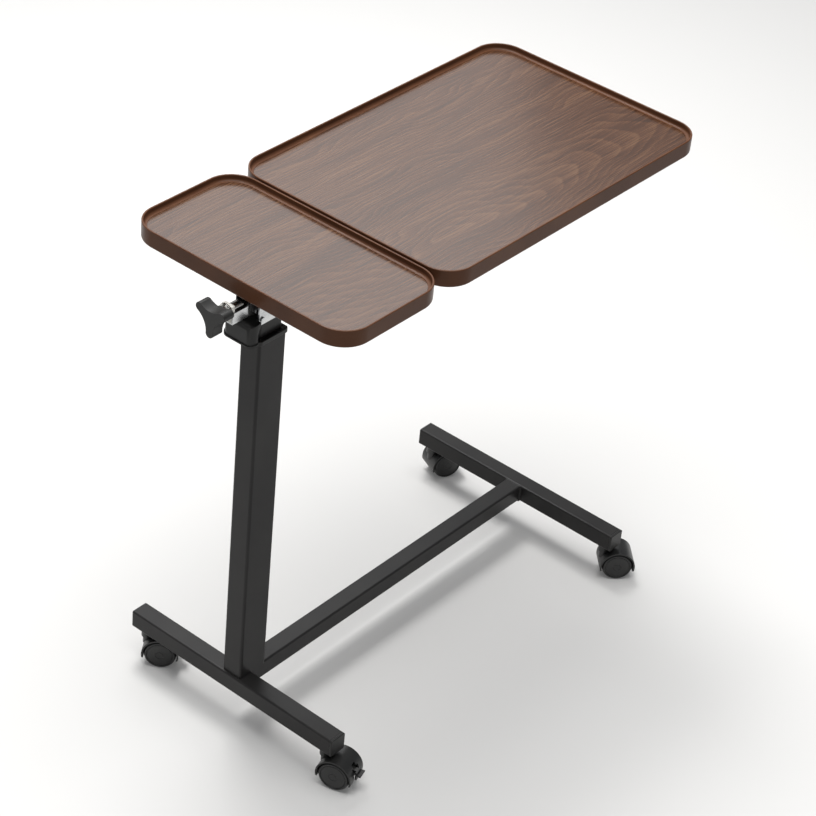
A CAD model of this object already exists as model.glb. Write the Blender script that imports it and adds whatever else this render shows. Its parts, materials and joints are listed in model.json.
import json
import math

import bmesh
import bpy
from mathutils import Matrix, Vector


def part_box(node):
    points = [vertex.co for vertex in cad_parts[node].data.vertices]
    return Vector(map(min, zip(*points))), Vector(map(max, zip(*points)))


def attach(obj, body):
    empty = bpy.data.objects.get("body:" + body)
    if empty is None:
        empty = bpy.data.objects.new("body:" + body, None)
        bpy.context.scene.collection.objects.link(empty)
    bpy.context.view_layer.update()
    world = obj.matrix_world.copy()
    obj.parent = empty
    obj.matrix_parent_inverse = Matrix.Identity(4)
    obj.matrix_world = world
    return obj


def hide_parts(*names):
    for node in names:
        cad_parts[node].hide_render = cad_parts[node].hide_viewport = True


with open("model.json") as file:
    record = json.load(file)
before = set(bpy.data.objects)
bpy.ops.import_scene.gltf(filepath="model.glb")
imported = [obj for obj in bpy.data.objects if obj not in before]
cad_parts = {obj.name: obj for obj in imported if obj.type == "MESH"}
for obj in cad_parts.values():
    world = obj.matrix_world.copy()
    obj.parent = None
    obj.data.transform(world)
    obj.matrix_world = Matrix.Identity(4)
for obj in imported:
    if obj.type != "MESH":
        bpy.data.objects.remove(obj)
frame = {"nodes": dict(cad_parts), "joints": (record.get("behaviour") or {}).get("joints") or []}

scene = bpy.context.scene
nodes = frame["nodes"]
joints = {joint["name"]: joint for joint in frame["joints"]}
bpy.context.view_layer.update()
mm = 0.001
print("frame loaded:", len(nodes), "CAD nodes")


# ---- camera, light and floor

studio = {
    "cameraPlace": (-2.4638, -1.8679, 2.6033),
    "cameraTurn": (54.431, -4.701, -49.657),
    "lens": 111.56,
    "floorSize": 40.0,
    "floorColour": "#cecdcb",
    "floorGlow": 0.12,
    "worldColour": "#c4c7cc",
    "worldStrength": 0.42,
}

lights = {  # place, aimed at, width, height, watts
    "overheadSoftbox": ((-0.3, -0.2, 4.2), (0, 0, 0), 3.0, 3.0, 160),
    "backSoftbox": ((0.7, 1.6, 4.2), (0, 0, 0), 1.3, 1.3, 115),
    "backPanel": ((0.86, 1.42, 1.90), (0.0, 0.2, 0.7), 1.82, 1.9, 13.5),
    "baseSheen": ((3.5, 2.75, 4.2), (0, 0, 0.1), 2.4, 1.3, 13),
    "leftFill": ((-3.4, 0.9, 1.3), (-0.2, 0, 0.45), 2.0, 2.0, 1.5),
    "frontFill": ((-0.9, -3.4, 1.2), (-0.1, 0, 0.45), 2.0, 2.0, 1.5),
}


def linear(hexColour, alpha=1.0):
    parts = [int(hexColour[i:i + 2], 16) / 255 for i in (1, 3, 5)]
    return (*[p / 12.92 if p <= 0.04045 else ((p + 0.055) / 1.055) ** 2.4 for p in parts], alpha)


def makeStudio():
    camera = bpy.data.objects.new("camera", bpy.data.cameras.new("camera"))
    scene.collection.objects.link(camera)
    camera.location = studio["cameraPlace"]
    camera.rotation_euler = [math.radians(a) for a in studio["cameraTurn"]]
    camera.data.lens = studio["lens"]
    camera.data.sensor_width = 36
    camera.data.clip_start, camera.data.clip_end = 0.05, 60
    scene.camera = camera
    for name, (place, target, width, height, watts) in lights.items():
        data = bpy.data.lights.new(name, "AREA")
        data.shape, data.size, data.size_y, data.energy = "RECTANGLE", width, height, watts
        lamp = bpy.data.objects.new(name, data)
        scene.collection.objects.link(lamp)
        lamp.visible_camera = False
        lamp.location = place
        lamp.rotation_euler = (Vector(target) - Vector(place)).to_track_quat("-Z", "Y").to_euler()
    world = bpy.data.worlds.new("studioWorld")
    world.use_nodes = True
    background = world.node_tree.nodes["Background"]
    background.inputs["Color"].default_value = linear(studio["worldColour"])
    background.inputs["Strength"].default_value = studio["worldStrength"]
    scene.world = world
    scene.view_settings.view_transform = "Standard"
    bm = bmesh.new()
    bmesh.ops.create_grid(bm, x_segments=1, y_segments=1, size=studio["floorSize"] / 2)
    mesh = bpy.data.meshes.new("studioFloor")
    bm.to_mesh(mesh)
    bm.free()
    floor = bpy.data.objects.new("studioFloor", mesh)
    scene.collection.objects.link(floor)
    paper, shader = newMaterial("matt studio paper")
    shader.inputs["Base Color"].default_value = linear(studio["floorColour"])
    shader.inputs["Roughness"].default_value = 0.9
    shader.inputs["Specular IOR Level"].default_value = 0.1
    shader.inputs["Emission Color"].default_value = linear(studio["floorColour"])
    shader.inputs["Emission Strength"].default_value = studio["floorGlow"]
    mesh.materials.append(paper)


# ---- materials

def newMaterial(name):
    material = bpy.data.materials.new(name)
    material.use_nodes = True
    return material, material.node_tree.nodes["Principled BSDF"]


def addNode(material, kind, settings=None, inputs=None, stops=None):
    node = material.node_tree.nodes.new(kind)
    for key, value in (settings or {}).items():
        setattr(node, key, value)
    for key, value in (inputs or {}).items():
        if isinstance(value, bpy.types.NodeSocket):
            material.node_tree.links.new(value, node.inputs[key])
        else:
            node.inputs[key].default_value = value
    if stops:
        ramp = node.color_ramp.elements
        while len(ramp) < len(stops):
            ramp.new(0.5)
        for element, (place, colour) in zip(ramp, stops):
            element.position, element.color = place, linear(colour)
    return node


def setShader(material, shader, **values):
    for key, value in values.items():
        socket = shader.inputs[key.replace("_", " ")]
        if isinstance(value, bpy.types.NodeSocket):
            material.node_tree.links.new(value, socket)
        else:
            socket.default_value = value


def place(material, scale=(1, 1, 1), turn=(0, 0, 0), shift=(0, 0, 0)):
    spot = addNode(material, "ShaderNodeTexCoord")
    return addNode(material, "ShaderNodeMapping", {}, {
        "Vector": spot.outputs["Object"], "Scale": scale, "Rotation": turn, "Location": shift}).outputs[0]


def grainyFinish(name, colour, light, roughness, spread, grainMm, depthMm, **more):
    # one even finish with a fine surface grain: grainMm is the size of the grain, depthMm its height
    material, shader = newMaterial(name)
    where = place(material)
    broad = addNode(material, "ShaderNodeTexNoise", {}, {"Vector": where, "Scale": 1 / (70 * mm), "Detail": 3.0})
    grain = addNode(material, "ShaderNodeTexNoise", {}, {
        "Vector": where, "Scale": 1 / (grainMm * mm), "Detail": 2.0, "Roughness": 0.55})
    shade = addNode(material, "ShaderNodeValToRGB", {}, {"Fac": broad.outputs["Fac"]},
                    [(0.3, colour), (0.75, light)])
    rough = addNode(material, "ShaderNodeMapRange", {}, {
        "Value": grain.outputs["Fac"], "From Min": 0.25, "From Max": 0.75,
        "To Min": roughness - spread, "To Max": roughness + spread})
    bump = addNode(material, "ShaderNodeBump", {}, {
        "Height": grain.outputs["Fac"], "Distance": depthMm * mm, "Strength": 0.6})
    setShader(material, shader, Base_Color=shade.outputs["Color"], Roughness=rough.outputs["Result"],
              Normal=bump.outputs["Normal"], **more)
    return material


walnut = {
    "dark": "#2d1b10", "middle": "#462b1a", "light": "#5c412c", "pore": "#22140b",
    "ringMm": 7.5, "streakMm": 1.5, "poreMm": 0.7, "heartYMm": 118.0, "taper": 0.16,
}


def walnutFoil(name, shift):
    # printed walnut foil on fibreboard, pressed and sealed: straight brown streaks, a few nested arches
    # where the cut runs close to the heart, short dark pores, and a soft satin seal coat over it all
    material, shader = newMaterial(name)
    where = place(material, shift=shift)
    slow = addNode(material, "ShaderNodeTexNoise", {}, {
        "Vector": place(material, scale=(2.2, 7.0, 1.0), shift=shift), "Scale": 1.6, "Detail": 2.0})
    split = addNode(material, "ShaderNodeSeparateXYZ", {}, {"Vector": where})
    wander = addNode(material, "ShaderNodeMath", {"operation": "MULTIPLY_ADD"}, {
        0: slow.outputs["Fac"], 1: 0.11, 2: split.outputs["Y"]})
    across = addNode(material, "ShaderNodeMath", {"operation": "ADD"}, {
        0: wander.outputs[0], 1: walnut["heartYMm"] * mm - 0.055})
    depth = addNode(material, "ShaderNodeMath", {"operation": "MULTIPLY_ADD"}, {
        0: split.outputs["X"], 1: walnut["taper"], 2: 0.012})
    acrossSquared = addNode(material, "ShaderNodeMath", {"operation": "MULTIPLY"}, {
        0: across.outputs[0], 1: across.outputs[0]})
    reach = addNode(material, "ShaderNodeMath", {"operation": "MULTIPLY_ADD"}, {
        0: depth.outputs[0], 1: depth.outputs[0], 2: acrossSquared.outputs[0]})
    radius = addNode(material, "ShaderNodeMath", {"operation": "SQRT"}, {0: reach.outputs[0]})
    ringPlace = addNode(material, "ShaderNodeMath", {"operation": "DIVIDE"}, {
        0: radius.outputs[0], 1: walnut["ringMm"] * mm})
    ring = addNode(material, "ShaderNodeMath", {"operation": "FRACT"}, {0: ringPlace.outputs[0]})
    ringShade = addNode(material, "ShaderNodeValToRGB", {}, {"Fac": ring.outputs[0]}, [
        (0.0, "#5a5a5a"), (0.55, "#8c8c8c"), (0.86, "#b0b0b0"), (1.0, "#5a5a5a")])
    streaks = addNode(material, "ShaderNodeTexNoise", {}, {
        "Vector": place(material, scale=(0.013, 1.0, 1.0), shift=shift),
        "Scale": 1 / (walnut["streakMm"] * mm), "Detail": 4.0, "Roughness": 0.66})
    bands = addNode(material, "ShaderNodeTexNoise", {}, {
        "Vector": place(material, scale=(0.10, 1.0, 1.0), shift=shift),
        "Scale": 1 / (26 * mm), "Detail": 3.0, "Roughness": 0.5})
    mixed = addNode(material, "ShaderNodeMath", {"operation": "MULTIPLY_ADD"}, {
        0: streaks.outputs["Fac"], 1: 0.70, 2: 0.0})
    mixed = addNode(material, "ShaderNodeMath", {"operation": "MULTIPLY_ADD"}, {
        0: bands.outputs["Fac"], 1: 0.26, 2: mixed.outputs[0]})
    mixed = addNode(material, "ShaderNodeMath", {"operation": "MULTIPLY_ADD"}, {
        0: ringShade.outputs["Color"], 1: 0.30, 2: mixed.outputs[0]})
    wood = addNode(material, "ShaderNodeValToRGB", {}, {"Fac": mixed.outputs[0]}, [
        (0.42, walnut["dark"]), (0.56, walnut["middle"]), (0.71, walnut["light"])])
    pores = addNode(material, "ShaderNodeTexNoise", {}, {
        "Vector": place(material, scale=(0.06, 1.0, 1.0), shift=shift),
        "Scale": 1 / (walnut["poreMm"] * mm), "Detail": 1.0})
    poreMask = addNode(material, "ShaderNodeMapRange", {}, {
        "Value": pores.outputs["Fac"], "From Min": 0.62, "From Max": 0.74, "To Max": 0.55})
    colour = addNode(material, "ShaderNodeMix", {"data_type": "RGBA"}, {
        0: poreMask.outputs["Result"], 6: wood.outputs["Color"], 7: linear(walnut["pore"])})
    bump = addNode(material, "ShaderNodeBump", {}, {
        "Height": mixed.outputs[0], "Distance": 0.05 * mm, "Strength": 0.25})
    rough = addNode(material, "ShaderNodeMapRange", {}, {
        "Value": streaks.outputs["Fac"], "From Min": 0.3, "From Max": 0.7, "To Min": 0.20, "To Max": 0.27})
    setShader(material, shader, Base_Color=colour.outputs[2], Roughness=rough.outputs["Result"],
              Normal=bump.outputs["Normal"], IOR=1.52)
    return material


def brushedMetal(name, colour, light, roughness, brushMm, turn=(0, 0, 0)):
    # plated or ground steel: fine lines one way and a slight cloudiness left by the bath
    material, shader = newMaterial(name)
    lines = addNode(material, "ShaderNodeTexNoise", {}, {
        "Vector": place(material, scale=(0.05, 1.0, 1.0), turn=turn), "Scale": 1 / (brushMm * mm), "Detail": 2.0})
    cloud = addNode(material, "ShaderNodeTexNoise", {}, {
        "Vector": place(material), "Scale": 1 / (14 * mm), "Detail": 3.0})
    shade = addNode(material, "ShaderNodeValToRGB", {}, {"Fac": cloud.outputs["Fac"]},
                    [(0.3, colour), (0.7, light)])
    rough = addNode(material, "ShaderNodeMapRange", {}, {
        "Value": lines.outputs["Fac"], "From Min": 0.3, "From Max": 0.7,
        "To Min": roughness - 0.06, "To Max": roughness + 0.08})
    bump = addNode(material, "ShaderNodeBump", {}, {
        "Height": lines.outputs["Fac"], "Distance": 0.01 * mm, "Strength": 0.3})
    setShader(material, shader, Base_Color=shade.outputs["Color"], Metallic=1.0,
              Roughness=rough.outputs["Result"], Normal=bump.outputs["Normal"])
    return material


def makeMaterials():
    made = {}
    # polyester powder coat on steel tube, satin black: baked skin with a fine orange peel, so tops catch a grey sheen
    made["black_frame"] = grainyFinish("satin black powder coat", "#282727", "#2e2d2c", 0.33, 0.04, 1.1, 0.03,
                                       Specular_IOR_Level=0.16)
    # glass-filled nylon, moulded in a spark-eroded tool: dull grain, softer highlight than the paint
    made["black_plastic"] = grainyFinish("black moulded nylon", "#222221", "#282827", 0.40, 0.05, 0.6, 0.02,
                                         Specular_IOR_Level=0.28)
    # hard nylon of castor hoods and wheels: as moulded, slightly glossier on the domed faces
    made["castor_black"] = grainyFinish("black castor nylon", "#1c1c1b", "#212120", 0.36, 0.05, 0.5, 0.015)
    # bronze-lacquered edge moulding: brown with a faint metal flake, satin clear over it
    made["rim_bronze"] = grainyFinish("bronze lacquered edge", "#4e3121", "#5b3b28", 0.30, 0.04, 0.8, 0.012,
                                      Specular_IOR_Level=0.12)
    # white acetal, turned and moulded: waxy, close to matt
    made["white_acetal"] = grainyFinish("white acetal", "#dedcd4", "#e6e4dd", 0.42, 0.04, 0.7, 0.01)
    # bright zinc plate, barrel plated: cool grey, slightly cloudy
    made["zinc_plate"] = brushedMetal("bright zinc plate", "#b9bbbd", "#d3d4d4", 0.27, 0.5)
    # ground and nickel-plated steel: brighter and sharper
    made["bright_steel"] = brushedMetal("nickel plated steel", "#c9c8c4", "#dddcd8", 0.17, 0.4, turn=(0, 0, math.pi / 2))
    # oil-tempered spring wire: dark grey, drawn lines along the wire
    made["spring_steel"] = brushedMetal("oil tempered spring wire", "#5b5c5e", "#747577", 0.34, 0.5)
    made["walnut_board"] = walnutFoil("walnut foil large tray", (0, 0, 0))
    made["walnut_small"] = walnutFoil("walnut foil small tray", (0.71, 0.083, 0))
    print("materials made:", len(made))
    return made


# ---- mesh helpers

def outline(bm, corners, origin, right, up, steps=6):
    # corners: (x, y, rounding) in mm on the plane of right and up; gives one rounded face
    origin, right, up = Vector(origin), Vector(right), Vector(up)
    verts = [bm.verts.new(origin + right * (x * mm) + up * (y * mm)) for x, y, _ in corners]
    bm.faces.new(verts)
    for vert, (_, _, rounding) in zip(verts, corners):
        if rounding:
            bmesh.ops.bevel(bm, geom=[vert], offset=rounding * mm, offset_type="OFFSET", segments=steps,
                            profile=0.5, affect="VERTICES", clamp_overlap=True, material=-1)
    bm.faces.ensure_lookup_table()


def openLoop(bm, drop=None):
    # leaves the outline's edges only, without those that drop says, ready to be swept or spun
    bmesh.ops.delete(bm, geom=bm.faces[:], context="FACES_ONLY")
    if drop:
        bmesh.ops.delete(bm, geom=[e for e in bm.edges if all(drop(v.co) for v in e.verts)], context="EDGES")
    return bm.verts[:] + bm.edges[:]


def turned(corners, origin, axis, steps=72, roundSteps=4):
    # corners: (radius, along, rounding) in mm; a closed solid spun about the axis through origin
    bm = bmesh.new()
    axis = Vector(axis).normalized()
    out = axis.orthogonal().normalized()
    outline(bm, corners, origin, out, axis, roundSteps)
    geom = openLoop(bm, lambda co: (co - Vector(origin)).cross(axis).length < 1e-7)
    bmesh.ops.spin(bm, geom=geom, cent=origin, axis=axis, dvec=(0, 0, 0), angle=2 * math.pi, steps=steps,
                   use_merge=True)
    bmesh.ops.remove_doubles(bm, verts=bm.verts, dist=1e-6)
    return bm


def sweptFrame(profile, low, high, corner, steps=20):
    # profile: (inset, height, rounding) in mm, carried round a rounded rectangle from low to high
    bm = bmesh.new()
    centre, half, bend = (low + high) / 2, (high - low) / 2, corner * mm
    start = Vector((centre.x + half.x - bend, centre.y + half.y, 0))
    outline(bm, profile, start, (0, -1, 0), (0, 0, 1), 5)
    geom = openLoop(bm)
    sides = [(1, 1, 0, -1), (1, -1, -1, 0), (-1, -1, 0, 1), (-1, 1, 1, 0)]
    for sideX, sideY, runX, runY in sides:
        pivot = (centre.x + sideX * (half.x - bend), centre.y + sideY * (half.y - bend), 0)
        last = bmesh.ops.spin(bm, geom=geom, cent=pivot, axis=(0, 0, 1), dvec=(0, 0, 0), angle=-math.pi / 2,
                              steps=steps)["geom_last"]
        edges = [e for e in last if isinstance(e, bmesh.types.BMEdge)]
        moved = bmesh.ops.extrude_edge_only(bm, edges=edges)["geom"]
        verts = [v for v in moved if isinstance(v, bmesh.types.BMVert)]
        run = Vector((runX * 2 * (half.x - bend), runY * 2 * (half.y - bend), 0))
        bmesh.ops.translate(bm, verts=verts, vec=run)
        loop = set(verts)
        geom = verts + [e for e in moved if isinstance(e, bmesh.types.BMEdge) and set(e.verts) <= loop]
    bmesh.ops.remove_doubles(bm, verts=bm.verts, dist=1e-6)
    return bm


def soften(bm, width, segments=3, sharp=30, only=None):
    edges = [e for e in bm.edges if len(e.link_faces) == 2 and e.calc_face_angle(0) > math.radians(sharp)
             and (only is None or only(e))]
    bmesh.ops.bevel(bm, geom=edges, offset=width * mm, offset_type="OFFSET", segments=segments, profile=0.5,
                    affect="EDGES", clamp_overlap=True, material=-1)


def softened(node, width, segments=3, sharp=30, only=None):
    # the node's own shape with its edges rounded, as bent, cast or moulded edges are
    bm = bmesh.new()
    bm.from_mesh(nodes[node].data)
    bmesh.ops.remove_doubles(bm, verts=bm.verts, dist=2e-6)
    bmesh.ops.dissolve_limit(bm, angle_limit=math.radians(0.5), verts=bm.verts[:], edges=bm.edges[:])
    soften(bm, width, segments, sharp, only)
    return bm


def joinMesh(bm, other):
    mesh = bpy.data.meshes.new("joined")
    other.to_mesh(mesh)
    other.free()
    bm.from_mesh(mesh)
    bpy.data.meshes.remove(mesh)


def keep(bm, name, body, finish, replaced=(), smooth=32, turnOut=True):
    if turnOut:
        bmesh.ops.recalc_face_normals(bm, faces=bm.faces)
    mesh = bpy.data.meshes.new(name)
    bm.to_mesh(mesh)
    bm.free()
    mesh.shade_smooth()
    mesh.set_sharp_from_angle(angle=math.radians(smooth))
    piece = bpy.data.objects.new(name, mesh)
    scene.collection.objects.link(piece)
    mesh.materials.append(finishes[finish])
    weighted = piece.modifiers.new("evenShading", "WEIGHTED_NORMAL")
    weighted.keep_sharp = True
    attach(piece, body)
    if replaced:
        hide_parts(*replaced)
    return piece


finishes = makeMaterials()
makeStudio()


# ---- trays

rim = {"wall": 3.0, "lip": 1.2, "heel": 3.5, "toe": 5.0, "cove": 3.2, "foot": 12.0, "corner": 45.0}


def trayRim(node, board, body):
    low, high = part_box(node)
    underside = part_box(board)[0].z / mm
    boardTop, bottom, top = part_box(board)[1].z / mm, low.z / mm, high.z / mm
    wall, toe = rim["wall"], rim["wall"] + rim["toe"]
    profile = [
        (0, bottom, rim["heel"]), (0, top, rim["lip"]), (wall, top, rim["lip"]),
        (wall, boardTop + rim["cove"], 0.8), (wall + 0.9, boardTop + 1.6, 1.2),
        (wall + 2.6, boardTop + 0.7, 1.4), (toe, boardTop + 0.25, 0.2),
        (toe, boardTop - 1.5, 0), (wall, boardTop - 1.5, 0), (wall, underside, 0), (rim["foot"], underside, 0.5),
        (rim["foot"], bottom, 1.0)]
    bm = sweptFrame(profile, low, high, rim["corner"], 24)
    keep(bm, node.replace("_rim", "_edge_moulding"), body, "rim_bronze", [node])


trayRim("small_tray_rim", "small_tray_board", "mast")
trayRim("large_tray_rim", "large_tray_board", "tilting_top")
print("tray rims made")


# ---- castors

wheelShape = {"tread": 1.2, "shoulder": 1.6, "ringDepth": 0.5, "hub": 5.5}


def castorWheel(castor, side):
    node = f"{castor}_wheel_{side}"
    joint = joints[f"{castor}_roll_{side}"]
    axis = Vector(joint["axis"])
    low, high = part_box(node)
    centre = (low + high) / 2
    stem = Vector(joints[f"{castor}_swivel"]["pos_m"])
    outward = axis if (centre - stem).dot(axis) > 0 else -axis
    pin = Vector(joint["pos_m"])
    middle = pin + outward * (centre - pin).dot(outward)
    radius, width = (high.z - low.z) / 2 / mm, 13.0
    start = middle - outward * (width / 2 * mm)
    hub, ringZ = wheelShape["hub"], width - 0.9 - wheelShape["ringDepth"]
    corners = [
        (0, 0.6, 0), (8, 0.6, 0.4), (9, 0, 0.4), (radius - 3, 0, 0.8), (radius, 2.2, 1.6),
        (radius, width - 3.2, wheelShape["shoulder"]), (radius - 2.2, width - 0.1, 0.9),
        (radius - 4.2, width - 0.35, 0.3), (radius - 4.6, ringZ, 0.25), (radius - 5.4, ringZ, 0.25),
        (radius - 5.8, width - 0.7, 0.3), (radius * 0.55, width - 0.25, 3.0), (hub + 1.2, width - 0.1, 0.3),
        (hub + 0.9, width - 0.6, 0.2), (hub + 0.2, width - 0.6, 0.2), (hub, width - 0.15, 0.3), (0, width - 0.15, 0)]
    keep(turned(corners, start, outward, 96), f"{node}_moulded", f"{castor}_wheel_{side}_body", "castor_black",
         [node])


for castor in ("near_front", "near_back", "far_front", "far_back"):
    for side in ("left", "right"):
        castorWheel(castor, side)
    keep(softened(f"{castor}_hood", 0.7), f"{castor}_hood_moulded", f"{castor}_castor", "castor_black",
         [f"{castor}_hood"], turnOut=False)
for castor in ("near_front", "near_back"):
    keep(softened(f"{castor}_brake", 0.5), f"{castor}_brake_moulded", f"{castor}_brake_lever", "castor_black",
         [f"{castor}_brake"], turnOut=False)
print("castors made")


# ---- base

def footCaps(node):
    low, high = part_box(node)
    bm = bmesh.new()
    for side in (-1, 1):
        y0, y1 = (high.y - 4 * mm, high.y) if side > 0 else (low.y, low.y + 4 * mm)
        size = Vector((high.x - low.x, y1 - y0, high.z - low.z))
        middle = Vector(((low.x + high.x) / 2, (y0 + y1) / 2, (low.z + high.z) / 2))
        cap = bmesh.new()
        bmesh.ops.create_cube(cap, size=1, matrix=Matrix.Translation(middle) @ Matrix.Diagonal((*size, 1)))
        along = [e for e in cap.edges if abs(e.verts[0].co.y - e.verts[1].co.y) > 1 * mm]
        bmesh.ops.bevel(cap, geom=along, offset=3 * mm, offset_type="OFFSET", segments=6, profile=0.5,
                        affect="EDGES", clamp_overlap=True, material=-1)
        outer, inner = (y1, y0) if side > 0 else (y0, y1)
        soften(cap, 1.1, 4, 60, lambda e: all(abs(v.co.y - outer) < 1e-5 for v in e.verts))
        soften(cap, 0.35, 1, 60, lambda e: all(abs(v.co.y - inner) < 1e-5 for v in e.verts))
        joinMesh(bm, cap)
    keep(bm, f"{node}_moulded", "base", "black_plastic", [node])


bead = {"legMm": 2.4, "rippleMm": 2.2, "rippleHeightMm": 0.16}


def weldBead(name, node, side):
    # a fillet weld round the crossbar's end, ground flush on top
    low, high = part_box("crossbar")
    leg, half = bead["legMm"], (high.y - low.y) / 2
    bm = sweptFrame([(0.4, 0, 0), (-leg, 0, 0.3), (-leg * 0.62, leg * 0.62, 0.9), (0.4, leg, 0.3)],
                    Vector((-half, -half, 0)), Vector((half, half, 0)), 3.0, 6)
    runs = [e for e in bm.edges if e.calc_length() > half]
    bmesh.ops.subdivide_edges(bm, edges=runs, cuts=30, use_grid_fill=True)
    for vert in bm.verts:
        co = vert.co
        wave = math.sin((co.x + co.y) / (bead["rippleMm"] * mm) * math.pi * 2) * bead["rippleHeightMm"] * mm
        reach = max(abs(co.x), abs(co.y)) - half
        if co.z > 0.3 * mm and reach > 0.3 * mm:
            co.z += wave
        if co.x > half + 0.1 * mm:
            co.x = half + 0.1 * mm + (co.x - half) * 0.15
    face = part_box(node)[1].x if side > 0 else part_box(node)[0].x
    turn = Matrix(((0, 0, side, face), (0, 1, 0, 0), (1, 0, 0, (low.z + high.z) / 2), (0, 0, 0, 1)))
    bmesh.ops.transform(bm, matrix=turn, verts=bm.verts)
    keep(bm, name, "base", "black_frame")


footCaps("near_foot_caps")
footCaps("far_foot_caps")
weldBead("near_weld_bead", "near_foot", 1)
weldBead("far_weld_bead", "far_foot", -1)
keep(softened("column_collar", 1.2, 4), "column_collar_moulded", "base", "black_plastic", ["column_collar"],
     turnOut=False)
keep(softened("column_bolts", 0.4), "column_bolts_forged", "base", "zinc_plate", ["column_bolts"], turnOut=False)
print("base made")


# ---- mast head, lever and knob

softNodes = {  # node: body, finish, edge rounding in mm, steps
    "mast_head": ("mast", "zinc_plate", 0.7, 3),
    "support_channel": ("mast", "zinc_plate", 0.6, 3),
    "channel_bolts": ("mast", "zinc_plate", 0.4, 2),
    "small_tray_brackets": ("mast", "black_frame", 0.5, 2),
    "shaft_bushes": ("mast", "white_acetal", 0.4, 2),
    "lever_pin": ("mast", "zinc_plate", 0.4, 2),
    "height_lever": ("lever", "black_plastic", 0.8, 3),
    "tilt_nut": ("tilting_top", "bright_steel", 0.6, 3),
    "tilt_knob": ("knob", "black_plastic", 1.6, 4),
    "large_tray_bearers": ("tilting_top", "black_frame", 0.4, 2),
    "small_tray_screws": ("mast", "zinc_plate", 0.6, 3),
    "large_tray_screws": ("tilting_top", "zinc_plate", 0.6, 3),
}
for node, (body, finish, width, steps) in softNodes.items():
    keep(softened(node, width, steps), f"{node}_finished", body, finish, [node], turnOut=False)
print("mast head, lever and knob made")


# ---- CAD nodes that stay as they are

carried = {
    "black_frame": ["near_foot", "far_foot", "crossbar", "column", "mast_tube", "tilt_tube"],
    "zinc_plate": ["castor_nuts", "castor_stems", "spring_seat", "lock_plates", "column_foot_plate"],
    "bright_steel": ["lift_rod", "release_rod", "tilt_shaft"],
    "spring_steel": ["lift_spring", "lever_spring"],
    "white_acetal": ["mast_glide"],
    "walnut_board": ["large_tray_board"],
    "walnut_small": ["small_tray_board"],
}
carried["bright_steel"] += [f"{castor}_axle" for castor in ("near_front", "near_back", "far_front", "far_back")]
for finish, names in carried.items():
    for name in names:
        for slot in nodes[name].material_slots:
            slot.material = finishes[finish]
print("carried nodes dressed")

print("boxes written")
